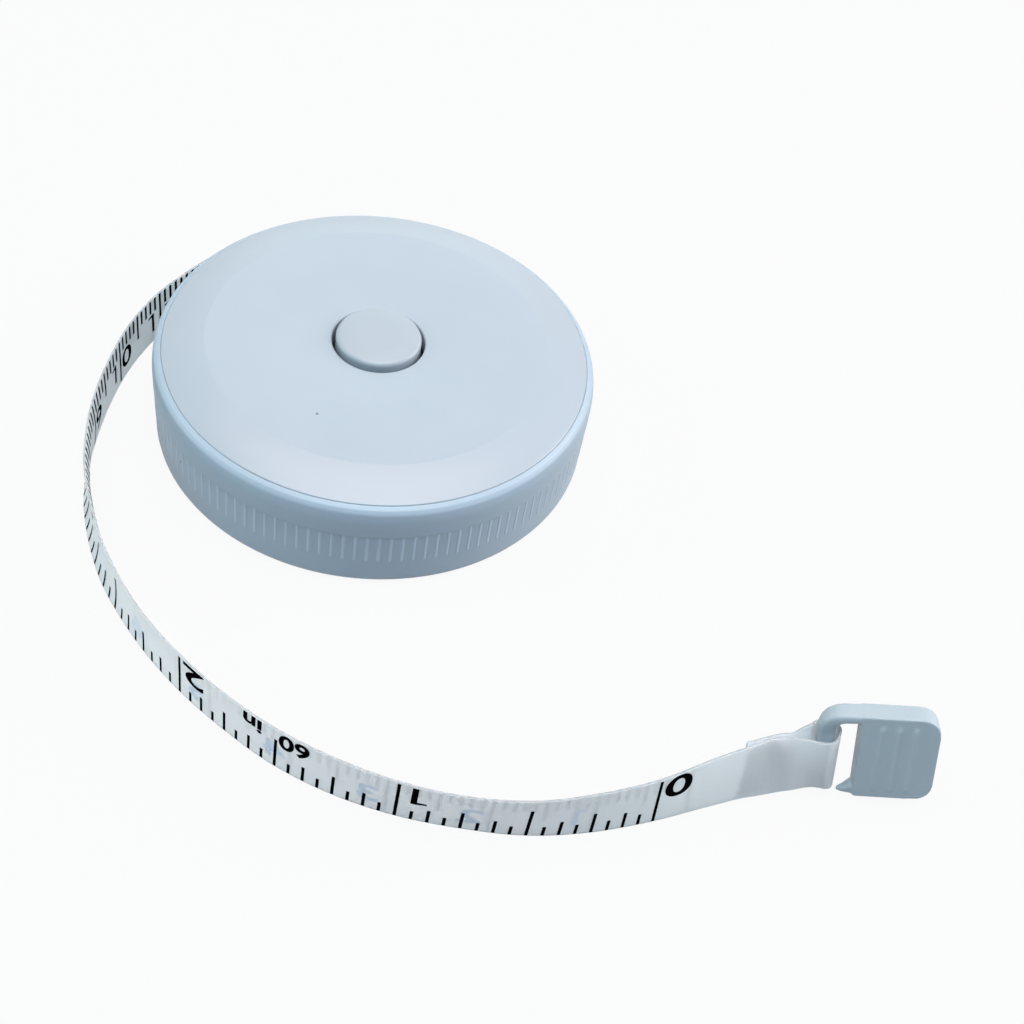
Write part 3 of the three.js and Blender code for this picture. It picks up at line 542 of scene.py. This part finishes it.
coil_low, coil_high = cad_span("button_spring")
coil_turns, coil_height = 8.0, coil_high.z - coil_low.z
wire_radius = 0.225
wire_bright, wire_dull = (0.66, 0.67, 0.68), (0.5, 0.51, 0.53)
even_marks = (3000, 3000, 3000)
return_coil = settled("return_coil", bmesh.new())
grown(return_coil, coiled_wire(), {
    "Turns": coil_turns, "Radius": (coil_high.x - wire_radius) * MM, "Wire Radius": wire_radius * MM,
    "Bottom": (coil_low.z + wire_radius) * MM, "Height": (coil_height - 2 * wire_radius) * MM,
    "Finish": spring_steel("wire_steel", wire_bright, wire_dull, 0.25, even_marks),
})
smoothed(return_coil)
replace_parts(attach(return_coil, "case"), "button_spring")
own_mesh(return_coil)
cap_low, cap_high = cad_span("push_button")
cap_radius, cap_top, cap_wall = 4.83, cap_high.z, 1.4
crown_radius, crown_rise = 2.6, 0.22
sleeve_inner, sleeve_outer, sleeve_foot = 2.92, 4.02, cap_low.z
flange_radius, flange_bottom, flange_top = 6.95, 7.5, 8.7
button_facets = 128
button_pale, button_deep = (0.34, 0.38, 0.425), (0.32, 0.36, 0.405)
button_satin = moulded_plastic("pale_blue_button", button_pale, button_deep, 0.4, grain_scale=8000.0)
button_cap = turned("button_cap", [
    (0, cap_top - cap_wall, 0), (sleeve_inner, cap_top - cap_wall, 0), (sleeve_inner, sleeve_foot, 0),
    (sleeve_outer, sleeve_foot, 0.15), (sleeve_outer, flange_bottom, 0.1),
    (flange_radius, flange_bottom, 0.1), (flange_radius, flange_top, 0.1), (cap_radius, flange_top, 0.1),
    (cap_radius, cap_top - crown_rise, 0.5), (crown_radius, cap_top, 4.0), (0, cap_top, 0),
], button_facets)
button_cap.data.materials.append(button_satin)
smoothed(button_cap)
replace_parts(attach(button_cap, "button"), "push_button")

# Lid: a moulded disc with a flat middle and a sloped edge, pressed into the rim of the cup. Its round
# hole in the middle guides the button.
lid_top, lid_underside, underside_radius = lid_high.z, 11.2, 19
lid_hole, flat_radius = 5.25, 19.27
lid_edge, edge_thickness = rim_top + 0.02, 1.2
slope_radius, slope_height = 21.85, lid_edge + 0.74
pressed_radius = rim_inner - 0.012
skirt_outer, skirt_inner, skirt_root, skirt_bottom = 23.25, 22.85, 10.95, lid_low.z
lid_pale, lid_deep = (0.355, 0.40, 0.45), (0.335, 0.38, 0.43)
lid_satin = moulded_plastic("pale_blue_lid", lid_pale, lid_deep, 0.33, grain_scale=6000.0)
lid_disc = turned("lid_disc", [
    (lid_hole, lid_underside, 0), (underside_radius, lid_underside, 0.3), (skirt_inner, skirt_root, 0),
    (skirt_inner, skirt_bottom, 0), (skirt_outer, skirt_bottom, 0.1),
    (skirt_outer, lid_edge - edge_thickness, 0), (pressed_radius, lid_edge - edge_thickness, 0),
    (pressed_radius, lid_edge, 0.18), (slope_radius, slope_height, 22), (flat_radius, lid_top, 0.3),
    (lid_hole, lid_top, 0.2),
], case_facets)
lid_disc.data.materials.append(lid_satin)
smoothed(lid_disc)
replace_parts(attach(lid_disc, "case"), "top_cover")

# Drawn tape: 7 mm of woven cloth with a white coating on both faces. It leaves the roll, runs through the
# slot and round to the tab, where it goes round the leg and is stuck back on itself.
exit_run = 14.64
join_gap = 0.3
route = [
    (-5.8, 25.75, 2.65, 0, 0), (-8.5, 25, 2.65, 0, 0), (-12.9, 23.1, 2.65, 0.06, -0.1),
    (-16.5, 20.6, 2.6, 0.15, -0.19), (-19.3, 17.6, 2.5, 0.25, -0.27), (-21.7, 15, 2.4, 0.27, -0.27),
    (-24.1, 12, 2.2, 0.33, -0.28), (-26.2, 9, 2, 0.42, -0.31), (-27.8, 5.7, 1.75, 0.43, -0.21),
    (-29, 2.2, 1.5, 0.41, -0.14), (-29.8, -1.5, 1.2, 0.42, -0.08), (-30.3, -5.3, 0.95, 0.36, -0.04),
    (-30.5, -9.2, 0.7, 0.36, 0), (-30.3, -13.4, 0.5, 0.5, 0), (-29.7, -17.4, 0.35, 0.48, 0.07),
    (-28.7, -21, 0.2, 0.47, 0.13), (-27.5, -24.4, 0.15, 0.46, 0.16), (-26.1, -27.7, 0.1, 0.33, 0.15),
    (-24.1, -31.3, 0.1, 0.1, 0.06), (-21.1, -35.7, 0.1, -0.1, -0.07), (-16.9, -40.4, 0.1, -0.19, -0.16),
    (-12.1, -44.6, 0.1, -0.24, -0.27), (-6.8, -48.3, 0.1, -0.17, -0.25), (-1.1, -51.1, 0.1, -0.17, -0.33),
    (5, -53.1, 0.1, -0.2, -0.57), (11.4, -54.2, 0.1, -0.1, -0.8), (17.9, -54.4, 0.1, 0, -0.5),
    (24.1, -53.4, 0.1, 0, 0), (30.1, -51.6, 0.1, -0.13, 0.42), (35.5, -49.3, 0.15, -0.45, 1.13),
    (39.5, -47.8, 0.4, -0.66, 1.57),
]
loop = [
    (-3.7, -1.56, 0.1, -0.1), (-2.24, -1.32, 0.15, 0), (-0.89, -1.24, 0.23, 0), (0.2, -1.27, 0.2, 0),
    (0.81, -0.76, 0.05, 0), (1, 0, 0.02, 0), (0.72, 0.66, 0, 0), (0.08, 0.92, 0, 0), (-0.75, 0.68, 0, -0.2),
    (-1.7, -0.1, 0, -0.1), (-2.6, -0.92, 0, -0.05), (-3.5, -1.2, 0, 0.05),
]
loop_radius = 1.307
layer_step, fold_reach, fold_rise = 0.3, 0.6, 0.35
tab_corner = Vector((50.65, -47.95, 0.62))
tab_yaw, tab_lean, tab_tilt = (math.radians(angle) for angle in (-8.2, 16, 9.6))
tab_place = (
    Matrix.Translation(tab_corner) @ Matrix.Rotation(tab_yaw, 4, "Z")
    @ Matrix.Rotation(math.pi / 2 - tab_lean, 4, "X") @ Matrix.Rotation(tab_tilt, 4, "Z")
)
leg_x = -2.825
leg_middle = Vector((leg_x, 4.4, -1.2))


def tape_line():
    """The tape's middles and the directions across it, through the given points from the roll to the fold."""
    heading = Vector((-math.sin(leave_angle), math.cos(leave_angle), 0))
    leave = Vector((leave_radius * math.cos(leave_angle), leave_radius * math.sin(leave_angle), leave_height))
    upright = Vector((0, 0, 1))
    middles = [leave, leave + heading * exit_run / 2, leave + heading * (exit_run + join_gap)]
    acrosses = [upright] * len(middles)
    for x, y, bottom, lean_x, lean_y in route:
        rise = math.sqrt(tape_width ** 2 - lean_x ** 2 - lean_y ** 2)
        middles.append(Vector((x, y, bottom + rise / 2)))
        acrosses.append(Vector((lean_x, lean_y, rise)) / tape_width)
    along = (middles[-1] - middles[-2]).normalized()
    fold_across = acrosses[-1]
    fold_end = (middles[-1] + fold_across.cross(along) * layer_step - along * fold_reach
                + fold_across * fold_rise)
    turn = tab_place.to_3x3()
    for right, back, flare, slip in loop:
        around_leg = Vector((right, 0, -back))
        outward = turn @ around_leg.normalized()
        middles.append(tab_place @ (leg_middle + loop_radius * around_leg + Vector((0, slip, 0))))
        acrosses.append((turn @ Vector((0, 1, 0)) + flare * outward).normalized())
    return middles + [fold_end], acrosses + [fold_across]


def smooth_run(middles, acrosses, steps):
    """Rows of middle and across on a centripetal curve through the set points."""
    rows = np.hstack([np.array(middles), np.array(acrosses)])
    rows = np.vstack([2 * rows[0] - rows[1], rows, 2 * rows[-1] - rows[-2]])
    part = np.linspace(0, 1, steps, endpoint=False)[:, None]
    spans = []
    for a, b, c, d in zip(rows, rows[1:], rows[2:], rows[3:]):
        ab, bc, cd = (math.sqrt(np.linalg.norm((q - p)[:3])) for p, q in ((a, b), (b, c), (c, d)))
        leave = bc * ((b - a) / ab - (c - a) / (ab + bc) + (c - b) / bc)
        arrive = bc * ((c - b) / bc - (d - b) / (bc + cd) + (d - c) / cd)
        spans.append((2 * part ** 3 - 3 * part ** 2 + 1) * b + (part ** 3 - 2 * part ** 2 + part) * leave
                     + (3 * part ** 2 - 2 * part ** 3) * c + (part ** 3 - part ** 2) * arrive)
    return np.vstack(spans + [rows[-2:-1]])


line = smooth_run(*tape_line(), 10)
tape_middle, tape_across = line[:, :3], line[:, 3:]
tape_along = np.gradient(tape_middle, axis=0)
tape_along /= np.linalg.norm(tape_along, axis=1)[:, None]
tape_face = np.cross(tape_along, tape_across)
tape_face /= np.linalg.norm(tape_face, axis=1)[:, None]
tape_up = np.cross(tape_face, tape_along)
tape_run = np.concatenate([[0], np.cumsum(np.linalg.norm(np.diff(tape_middle, axis=0), axis=1))])
tape_length = tape_run[-1]

print_skew = np.interp(tape_run, [54, 99, 124.5, 150], [0, 0.086, 0.033, -0.033])
print_ease = np.interp(tape_run, [34, 44.4, 53.4], [1.8, 0.9, 0])
dish_depth, dish_middle, dish_spread, dish_balance = 0.5, 74, 13, 0.33
dish = dish_depth * np.exp(-((tape_run - dish_middle) / dish_spread) ** 2)
strips = 10
share = np.linspace(-0.5, 0.5, strips + 1)
ring_share = np.concatenate([share, share[::-1]])
ring_side = np.repeat([0.5, -0.5], strips + 1)
shape = (
    tape_middle[:, None] + tape_up[:, None] * (ring_share * tape_width)[None, :, None]
    + tape_face[:, None] * (ring_side * tape_thickness
                            + dish[:, None] * (4 * ring_share ** 2 - dish_balance))[:, :, None]
)
stations, around = shape.shape[:2]
quads = []
places = []
inner_island = tape_width + 3
edge_island = 2 * inner_island
for i in range(stations - 1):
    for j in range(around):
        k = (j + 1) % around
        quads.append((i * around + j, (i + 1) * around + j, (i + 1) * around + k, i * around + k))
        outer, inner = j < strips, strips < j < around - 1
        for row, column in ((i, j), (i + 1, j), (i + 1, k), (i, k)):
            height = (0.5 - ring_share[column] if outer else 0.5 + ring_share[column]) * tape_width
            island = 0 if outer else inner_island if inner else edge_island
            run = (tape_length - tape_run[row] + print_ease[row]
                   + print_skew[row] * ring_share[column] * tape_width)
            places.append((run * MM, (island + height) * MM))
quads.append(tuple(range(around)))
places += [(tape_length * MM, edge_island * MM)] * around
quads.append(tuple(reversed(range((stations - 1) * around, stations * around))))
places += [(0, edge_island * MM)] * around
tape_mesh = bpy.data.meshes.new("drawn_tape")
tape_mesh.from_pydata((shape.reshape(-1, 3) * MM).tolist(), [], quads)
tape_mesh.uv_layers.new(name="Run").data.foreach_set("uv", np.array(places).ravel())
drawn_tape = bpy.data.objects.new("drawn_tape", tape_mesh)
bpy.context.scene.collection.objects.link(drawn_tape)
tape_mesh.materials.append(coated_cloth("coated_tape", tape_pale, tape_deep, (edge_island - 1) * MM))
smoothed(drawn_tape)
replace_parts(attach(drawn_tape, "tape"), "tape_lead_in", "tape_free_stretch")


# Printed scales: black ink on both faces, inches outside and centimetres inside. The lines hang from one
# edge, the numbers stand beside the long lines, and the inside numbers show faintly through the cloth.
def printed_scale():
    """Geometry Nodes tree that rules a scale, adds flat numerals and lays both on the tape's face."""
    levels = 5
    lengths = ["First", "Spacing", "Line Width", "Top", "Island", "Lift"]
    for level in range(levels):
        lengths += [f"Every {level}", f"Length {level}"]
    tree, given = shape_tree("printed_scale", {"Numerals": "Geometry", "Tape": "Object", "Count": "Int",
                                               "Ink": "Material", **dict.fromkeys(lengths, "Float")})
    first = place(tree, "ShaderNodeCombineXYZ", {0: given["First"], 1: given["Top"]})
    step = place(tree, "ShaderNodeCombineXYZ", {0: given["Spacing"]})
    row = place(tree, "GeometryNodeMeshLine", {"Count": given["Count"], "Start Location": first.outputs[0],
                                               "Offset": step.outputs[0]})
    index = place(tree, "GeometryNodeInputIndex")
    reach = 0.0
    for level in range(levels):
        rest = reckon(tree, "MODULO", index.outputs[0], given[f"Every {level}"])
        part = reckon(tree, "MULTIPLY", reckon(tree, "LESS_THAN", rest, 0.5), given[f"Length {level}"])
        reach = reckon(tree, "MAXIMUM", reach, part)
    stroke = place(tree, "GeometryNodeMeshGrid", {"Size X": given["Line Width"], "Size Y": 1.0,
                                                  "Vertices X": 2, "Vertices Y": 12})
    hung = place(tree, "GeometryNodeTransform", {"Geometry": stroke.outputs[0],
                                                 "Translation": (0, -0.5, 0)})
    size = place(tree, "ShaderNodeCombineXYZ", {0: 1.0, 1: reach, 2: 1.0})
    lines = place(tree, "GeometryNodeInstanceOnPoints", {"Points": row.outputs[0],
                                                         "Instance": hung.outputs[0],
                                                         "Scale": size.outputs[0]})
    real = place(tree, "GeometryNodeRealizeInstances", {"Geometry": lines.outputs[0]})
    split = place(tree, "GeometryNodeSubdivideMesh", {"Mesh": given["Numerals"], "Level": 2})
    sheet = place(tree, "GeometryNodeJoinGeometry")
    tree.links.new(real.outputs[0], sheet.inputs[0])
    tree.links.new(split.outputs[0], sheet.inputs[0])
    tape = place(tree, "GeometryNodeObjectInfo", {"Object": given["Tape"]})
    run = place(tree, "GeometryNodeInputNamedAttribute", {"Name": "Run"}, data_type="FLOAT_VECTOR")
    spot = place(tree, "GeometryNodeInputPosition")
    shift = place(tree, "ShaderNodeCombineXYZ", {1: given["Island"]})
    flat = place(tree, "ShaderNodeVectorMath", {0: spot.outputs[0], 1: shift.outputs[0]}, operation="ADD")
    facing = place(tree, "GeometryNodeInputNormal")
    found = []
    for field in (spot, facing):
        sample = place(tree, "GeometryNodeSampleUVSurface", {"Mesh": tape.outputs["Geometry"]},
                       data_type="FLOAT_VECTOR")
        tree.links.new(field.outputs[0], sample.inputs["Value"])
        tree.links.new(run.outputs[0], sample.inputs["UV Map"])
        tree.links.new(flat.outputs[0], sample.inputs["Sample UV"])
        found.append(sample.outputs["Value"])
    proud = place(tree, "ShaderNodeVectorMath", {0: found[1], "Scale": given["Lift"]}, operation="SCALE")
    laid = place(tree, "ShaderNodeVectorMath", {0: found[0], 1: proud.outputs[0]}, operation="ADD")
    set_down = place(tree, "GeometryNodeSetPosition", {"Geometry": sheet.outputs[0],
                                                       "Position": laid.outputs[0]})
    led_out(tree, set_down.outputs[0], given["Ink"])
    return tree


def figure_one():
    """A flat figure one of unit height, with a broad stem and a flag that tapers to the left."""
    form = bmesh.new()
    form.faces.new([form.verts.new((x, y, 0)) for x, y in (
        (-0.11, 0), (0.11, 0), (0.11, 1), (-0.05, 1), (-0.45, 0.93), (-0.45, 0.84), (-0.11, 0.85))])
    bmesh.ops.triangulate(form, faces=form.faces)
    flat = bpy.data.meshes.new("figure_one")
    form.to_mesh(flat)
    form.free()
    return flat


def lettered(words, heavy):
    """A flat mesh of words of unit height in the built-in type, with strokes made heavier."""
    letters = bpy.data.curves.new("numeral", "FONT")
    letters.body = words
    letters.align_x = "CENTER"
    letters.resolution_u = 6
    letters.offset = heavy
    stand = bpy.data.objects.new("numeral", letters)
    bpy.context.scene.collection.objects.link(stand)
    graph = bpy.context.evaluated_depsgraph_get()
    flat = bpy.data.meshes.new_from_object(stand.evaluated_get(graph), depsgraph=graph)
    cap_height = 0.729
    flat.transform(Matrix.Scale(1 / cap_height, 4))
    bpy.data.objects.remove(stand)
    bpy.data.curves.remove(letters)
    return flat


def numeral(form, words, at, height, heavy=0.0, wide=1.0, seen_through=False):
    """Adds words to a flat sheet of print, centred across and standing on the given spot."""
    flat = figure_one() if words == "1" else lettered(words, heavy)
    sheet = Matrix.Translation((at[0], at[1], 0)) @ Matrix.Diagonal((height * wide, height, 1, 1))
    if seen_through:
        sheet = Matrix.Translation((0, tape_width, 0)) @ Matrix.Diagonal((1, -1, 1, 1)) @ sheet
        flat.flip_normals()
    flat.transform(Matrix.Scale(MM, 4) @ sheet)
    form.from_mesh(flat)
    bpy.data.meshes.remove(flat)


def tape_ink(name, colour, roughness):
    """Printing ink that lies a little unevenly on the coating."""
    material, tree, shader = blank_material(name)
    spot = place(tree, "ShaderNodeTexCoord").outputs["Object"]
    cover = place(tree, "ShaderNodeTexNoise", {"Vector": spot, "Scale": 2500.0, "Detail": 3.0}).outputs[0]
    thin = tuple(1.1 * c + 0.002 for c in colour)
    gloss = place(tree, "ShaderNodeMapRange", {0: cover, 3: roughness - 0.1, 4: roughness + 0.1})
    tree.links.new(blend(tree, cover, (*colour, 1), (*thin, 1)), shader.inputs["Base Color"])
    tree.links.new(gloss.outputs[0], shader.inputs["Roughness"])
    shader.inputs["Specular IOR Level"].default_value = 0
    return material


def print_side(name, numerals, ranks, values):
    """A printed face of the tape as a piece of its own, with lines of each rank every so many steps."""
    for level, (every, length) in enumerate(ranks):
        values |= {f"Every {level}": float(every), f"Length {level}": length * MM}
    sheet = settled(name, numerals)
    grown(sheet, scale_tree, {"Tape": drawn_tape, **values})
    sheet.visible_shadow = False
    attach(sheet, "tape")


scale_tree = printed_scale()
black_ink = tape_ink("black_ink", (0.002, 0.002, 0.003), 0.6)
ghost_ink = tape_ink("shown_through_ink", (0.86, 0.87, 0.955), 0.6)
line_top = 6.95
ink_lift, ghost_lift = 0.014, 0.006
inch, centimetre = 25.4, 10
inch_zero, centimetre_zero = tape_length - 149.9, tape_length - 153.44
last_inch = int((tape_length - inch_zero - exit_run) / inch)
last_centimetre = int((tape_length - centimetre_zero - exit_run) / centimetre)
inch_height, inch_foot = 3.3, 0.3
mark_height = 2.5
inch_numerals = bmesh.new()
for count in range(last_inch + 1):
    beside, wide = (1.6, 0.85) if count == 1 else (2.1, 1.4)
    at = (inch_zero + count * inch - beside, inch_foot)
    numeral(inch_numerals, str(count), at, inch_height, heavy=0.02, wide=wide)
for words, inches, foot in (("60", 1.42, 0.4), ("in", 1.61, 0.3)):
    numeral(inch_numerals, words, (inch_zero + inches * inch, foot), mark_height, heavy=0.03)
print_side("inch_print", inch_numerals, ((1, 1.8), (2, 2.65), (4, 3.5), (8, 5.1), (16, 6.7)), {
    "First": inch_zero * MM, "Spacing": inch / 16 * MM, "Count": last_inch * 16 + 9,
    "Line Width": 0.34 * MM, "Top": line_top * MM, "Island": 0.0, "Lift": ink_lift * MM, "Ink": black_ink,
})
digit_height, digit_foot = 3.0, 1.65
centimetre_numerals, ghost_numerals = bmesh.new(), bmesh.new()
for count in range(1, last_centimetre + 1):
    for digit, beside in zip(reversed(str(count)), (1.86, -1.54)):
        at = (centimetre_zero + count * centimetre + beside, digit_foot)
        wide = 0.72 if digit == "1" else 1.35
        for form, seen_through in ((centimetre_numerals, False), (ghost_numerals, True)):
            numeral(form, digit, at, digit_height, heavy=0.015, wide=wide, seen_through=seen_through)
print_side("centimetre_print", centimetre_numerals, ((1, 2.1), (5, 3.8), (10, 6.6)), {
    "First": centimetre_zero * MM, "Spacing": centimetre / 10 * MM, "Count": last_centimetre * 10 + 4,
    "Line Width": 0.4 * MM, "Top": line_top * MM, "Island": inner_island * MM, "Lift": ink_lift * MM,
    "Ink": black_ink,
})
print_side("shown_through_print", ghost_numerals, (), {
    "Count": 0, "Island": 0.0, "Lift": ghost_lift * MM, "Ink": ghost_ink})

# End tab: one moulding with a flat plate, an arm that bends down into the tape's loop, and a small nub
# that keeps the loop from slipping off. Its face carries low upright ridges for the fingers.
tab_depth = 2.4
plate_left, plate_width, plate_height = 0.35, 8.1, 10.3
plate_outline = [(plate_left, 0.2, 0.3), (plate_width, 0.3, 1.7), (plate_width, plate_height, 2.0),
                 (plate_left, plate_height, 0.2)]
nub_middle = -0.8
nub_line = [
    (1.8, 1.05, 1.7, 1.4), (0.6, 1.05, 1.7, 1.4), (0.2, 0.92, 1.35, 1.3), (-0.2, 0.76, 0.9, 1.15),
    (-0.55, 0.65, 0.66, 0.95), (-0.9, 0.58, 0.5, 0.7), (-1.2, 0.55, 0.3, 0.4),
]
arm_line = [
    (2.4, 9.78, 1.1, 2.4), (0, 9.78, 1.1, 2.4), (-1.2, 9.74, 1.14, 2.38), (-1.8, 9.6, 1.3, 2.3),
    (-2.3, 9.28, 1.55, 2.15), (-2.62, 8.85, 1.7, 2.0), (-2.78, 8.3, 1.75, 1.85), (leg_x, 7.6, 1.75, 1.7),
    (leg_x, 6, 1.7, 1.5), (leg_x, 2, 1.65, 1.4), (leg_x, 1.1, 1.4, 1.2), (leg_x, 0.82, 0.8, 0.7),
]


def slab(form, corners, front, back):
    """Adds a flat slab of a rounded outline to a form."""
    outline = softened(corners)
    rings = [[form.verts.new((x, y, z)) for x, y in outline] for z in (back, front)]
    form.faces.new(reversed(rings[0]))
    form.faces.new(rings[1])
    for k in range(len(outline)):
        form.faces.new((rings[0][k - 1], rings[0][k], rings[1][k], rings[1][k - 1]))


def rod(form, line, middle, around=24, squareness=4.0):
    """Adds a rod along places in the tab's plane, each with its width and depth."""
    rings = []
    for i, (x, y, width, depth) in enumerate(line):
        before, after = line[max(i - 1, 0)], line[min(i + 1, len(line) - 1)]
        along = Vector((after[0] - before[0], after[1] - before[1])).normalized()
        ring = []
        for k in range(around):
            angle = 2 * math.pi * k / around
            cosine, sine = math.cos(angle), math.sin(angle)
            side = math.copysign(abs(cosine) ** (2 / squareness), cosine) * width / 2
            rise = math.copysign(abs(sine) ** (2 / squareness), sine) * depth / 2
            ring.append(form.verts.new((x - along.y * side, y + along.x * side, middle + rise)))
        rings.append(ring)
    for lower, upper in zip(rings, rings[1:]):
        for k in range(around):
            form.faces.new((lower[k - 1], lower[k], upper[k], upper[k - 1]))
    form.faces.new(rings[0])
    form.faces.new(reversed(rings[-1]))


tab_form = bmesh.new()
slab(tab_form, plate_outline, 0, -tab_depth)
rod(tab_form, nub_line, nub_middle)
rod(tab_form, arm_line, -tab_depth / 2)
bmesh.ops.recalc_face_normals(tab_form, faces=tab_form.faces)
buckle = settled("end_tab_moulding", tab_form)
melt = buckle.modifiers.new("melt", "REMESH")
melt.mode = "VOXEL"
melt.voxel_size = 0.09
ease = buckle.modifiers.new("ease", "SMOOTH")
ease.factor = 0.5
ease.iterations = 22
plain(buckle)
ridge_step, ridge_width, ridge_height = 1.62, 0.26, 0.15
ridge_margin, fade_across, fade_along, face_skin = 0.9, 0.4, 0.6, 0.1
spots = np.empty(3 * len(buckle.data.vertices))
buckle.data.vertices.foreach_get("co", spots)
spots = spots.reshape(-1, 3)
ridge = np.exp(-((spots[:, 0] % ridge_step - ridge_step / 2) / ridge_width) ** 2)
for axis, span, fade in ((0, plate_width, fade_across), (1, plate_height, fade_along)):
    from_edge = span / 2 - ridge_margin - abs(spots[:, axis] - span / 2)
    ridge *= np.clip(from_edge / fade, 0, 1)
spots[:, 2] += ridge_height * ridge * (spots[:, 2] > -face_skin)
buckle.data.vertices.foreach_set("co", spots.ravel())
buckle.data.transform(Matrix.Scale(MM, 4) @ tab_place)
tab_pale, tab_deep = (0.365, 0.42, 0.46), (0.34, 0.395, 0.435)
tab_satin = moulded_plastic("pale_blue_tab", tab_pale, tab_deep, 0.5, grain_scale=2600.0, grain_depth=0.06)
buckle.data.materials.append(tab_satin)
buckle.data.shade_smooth()
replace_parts(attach(buckle, "tab"), "end_tab")
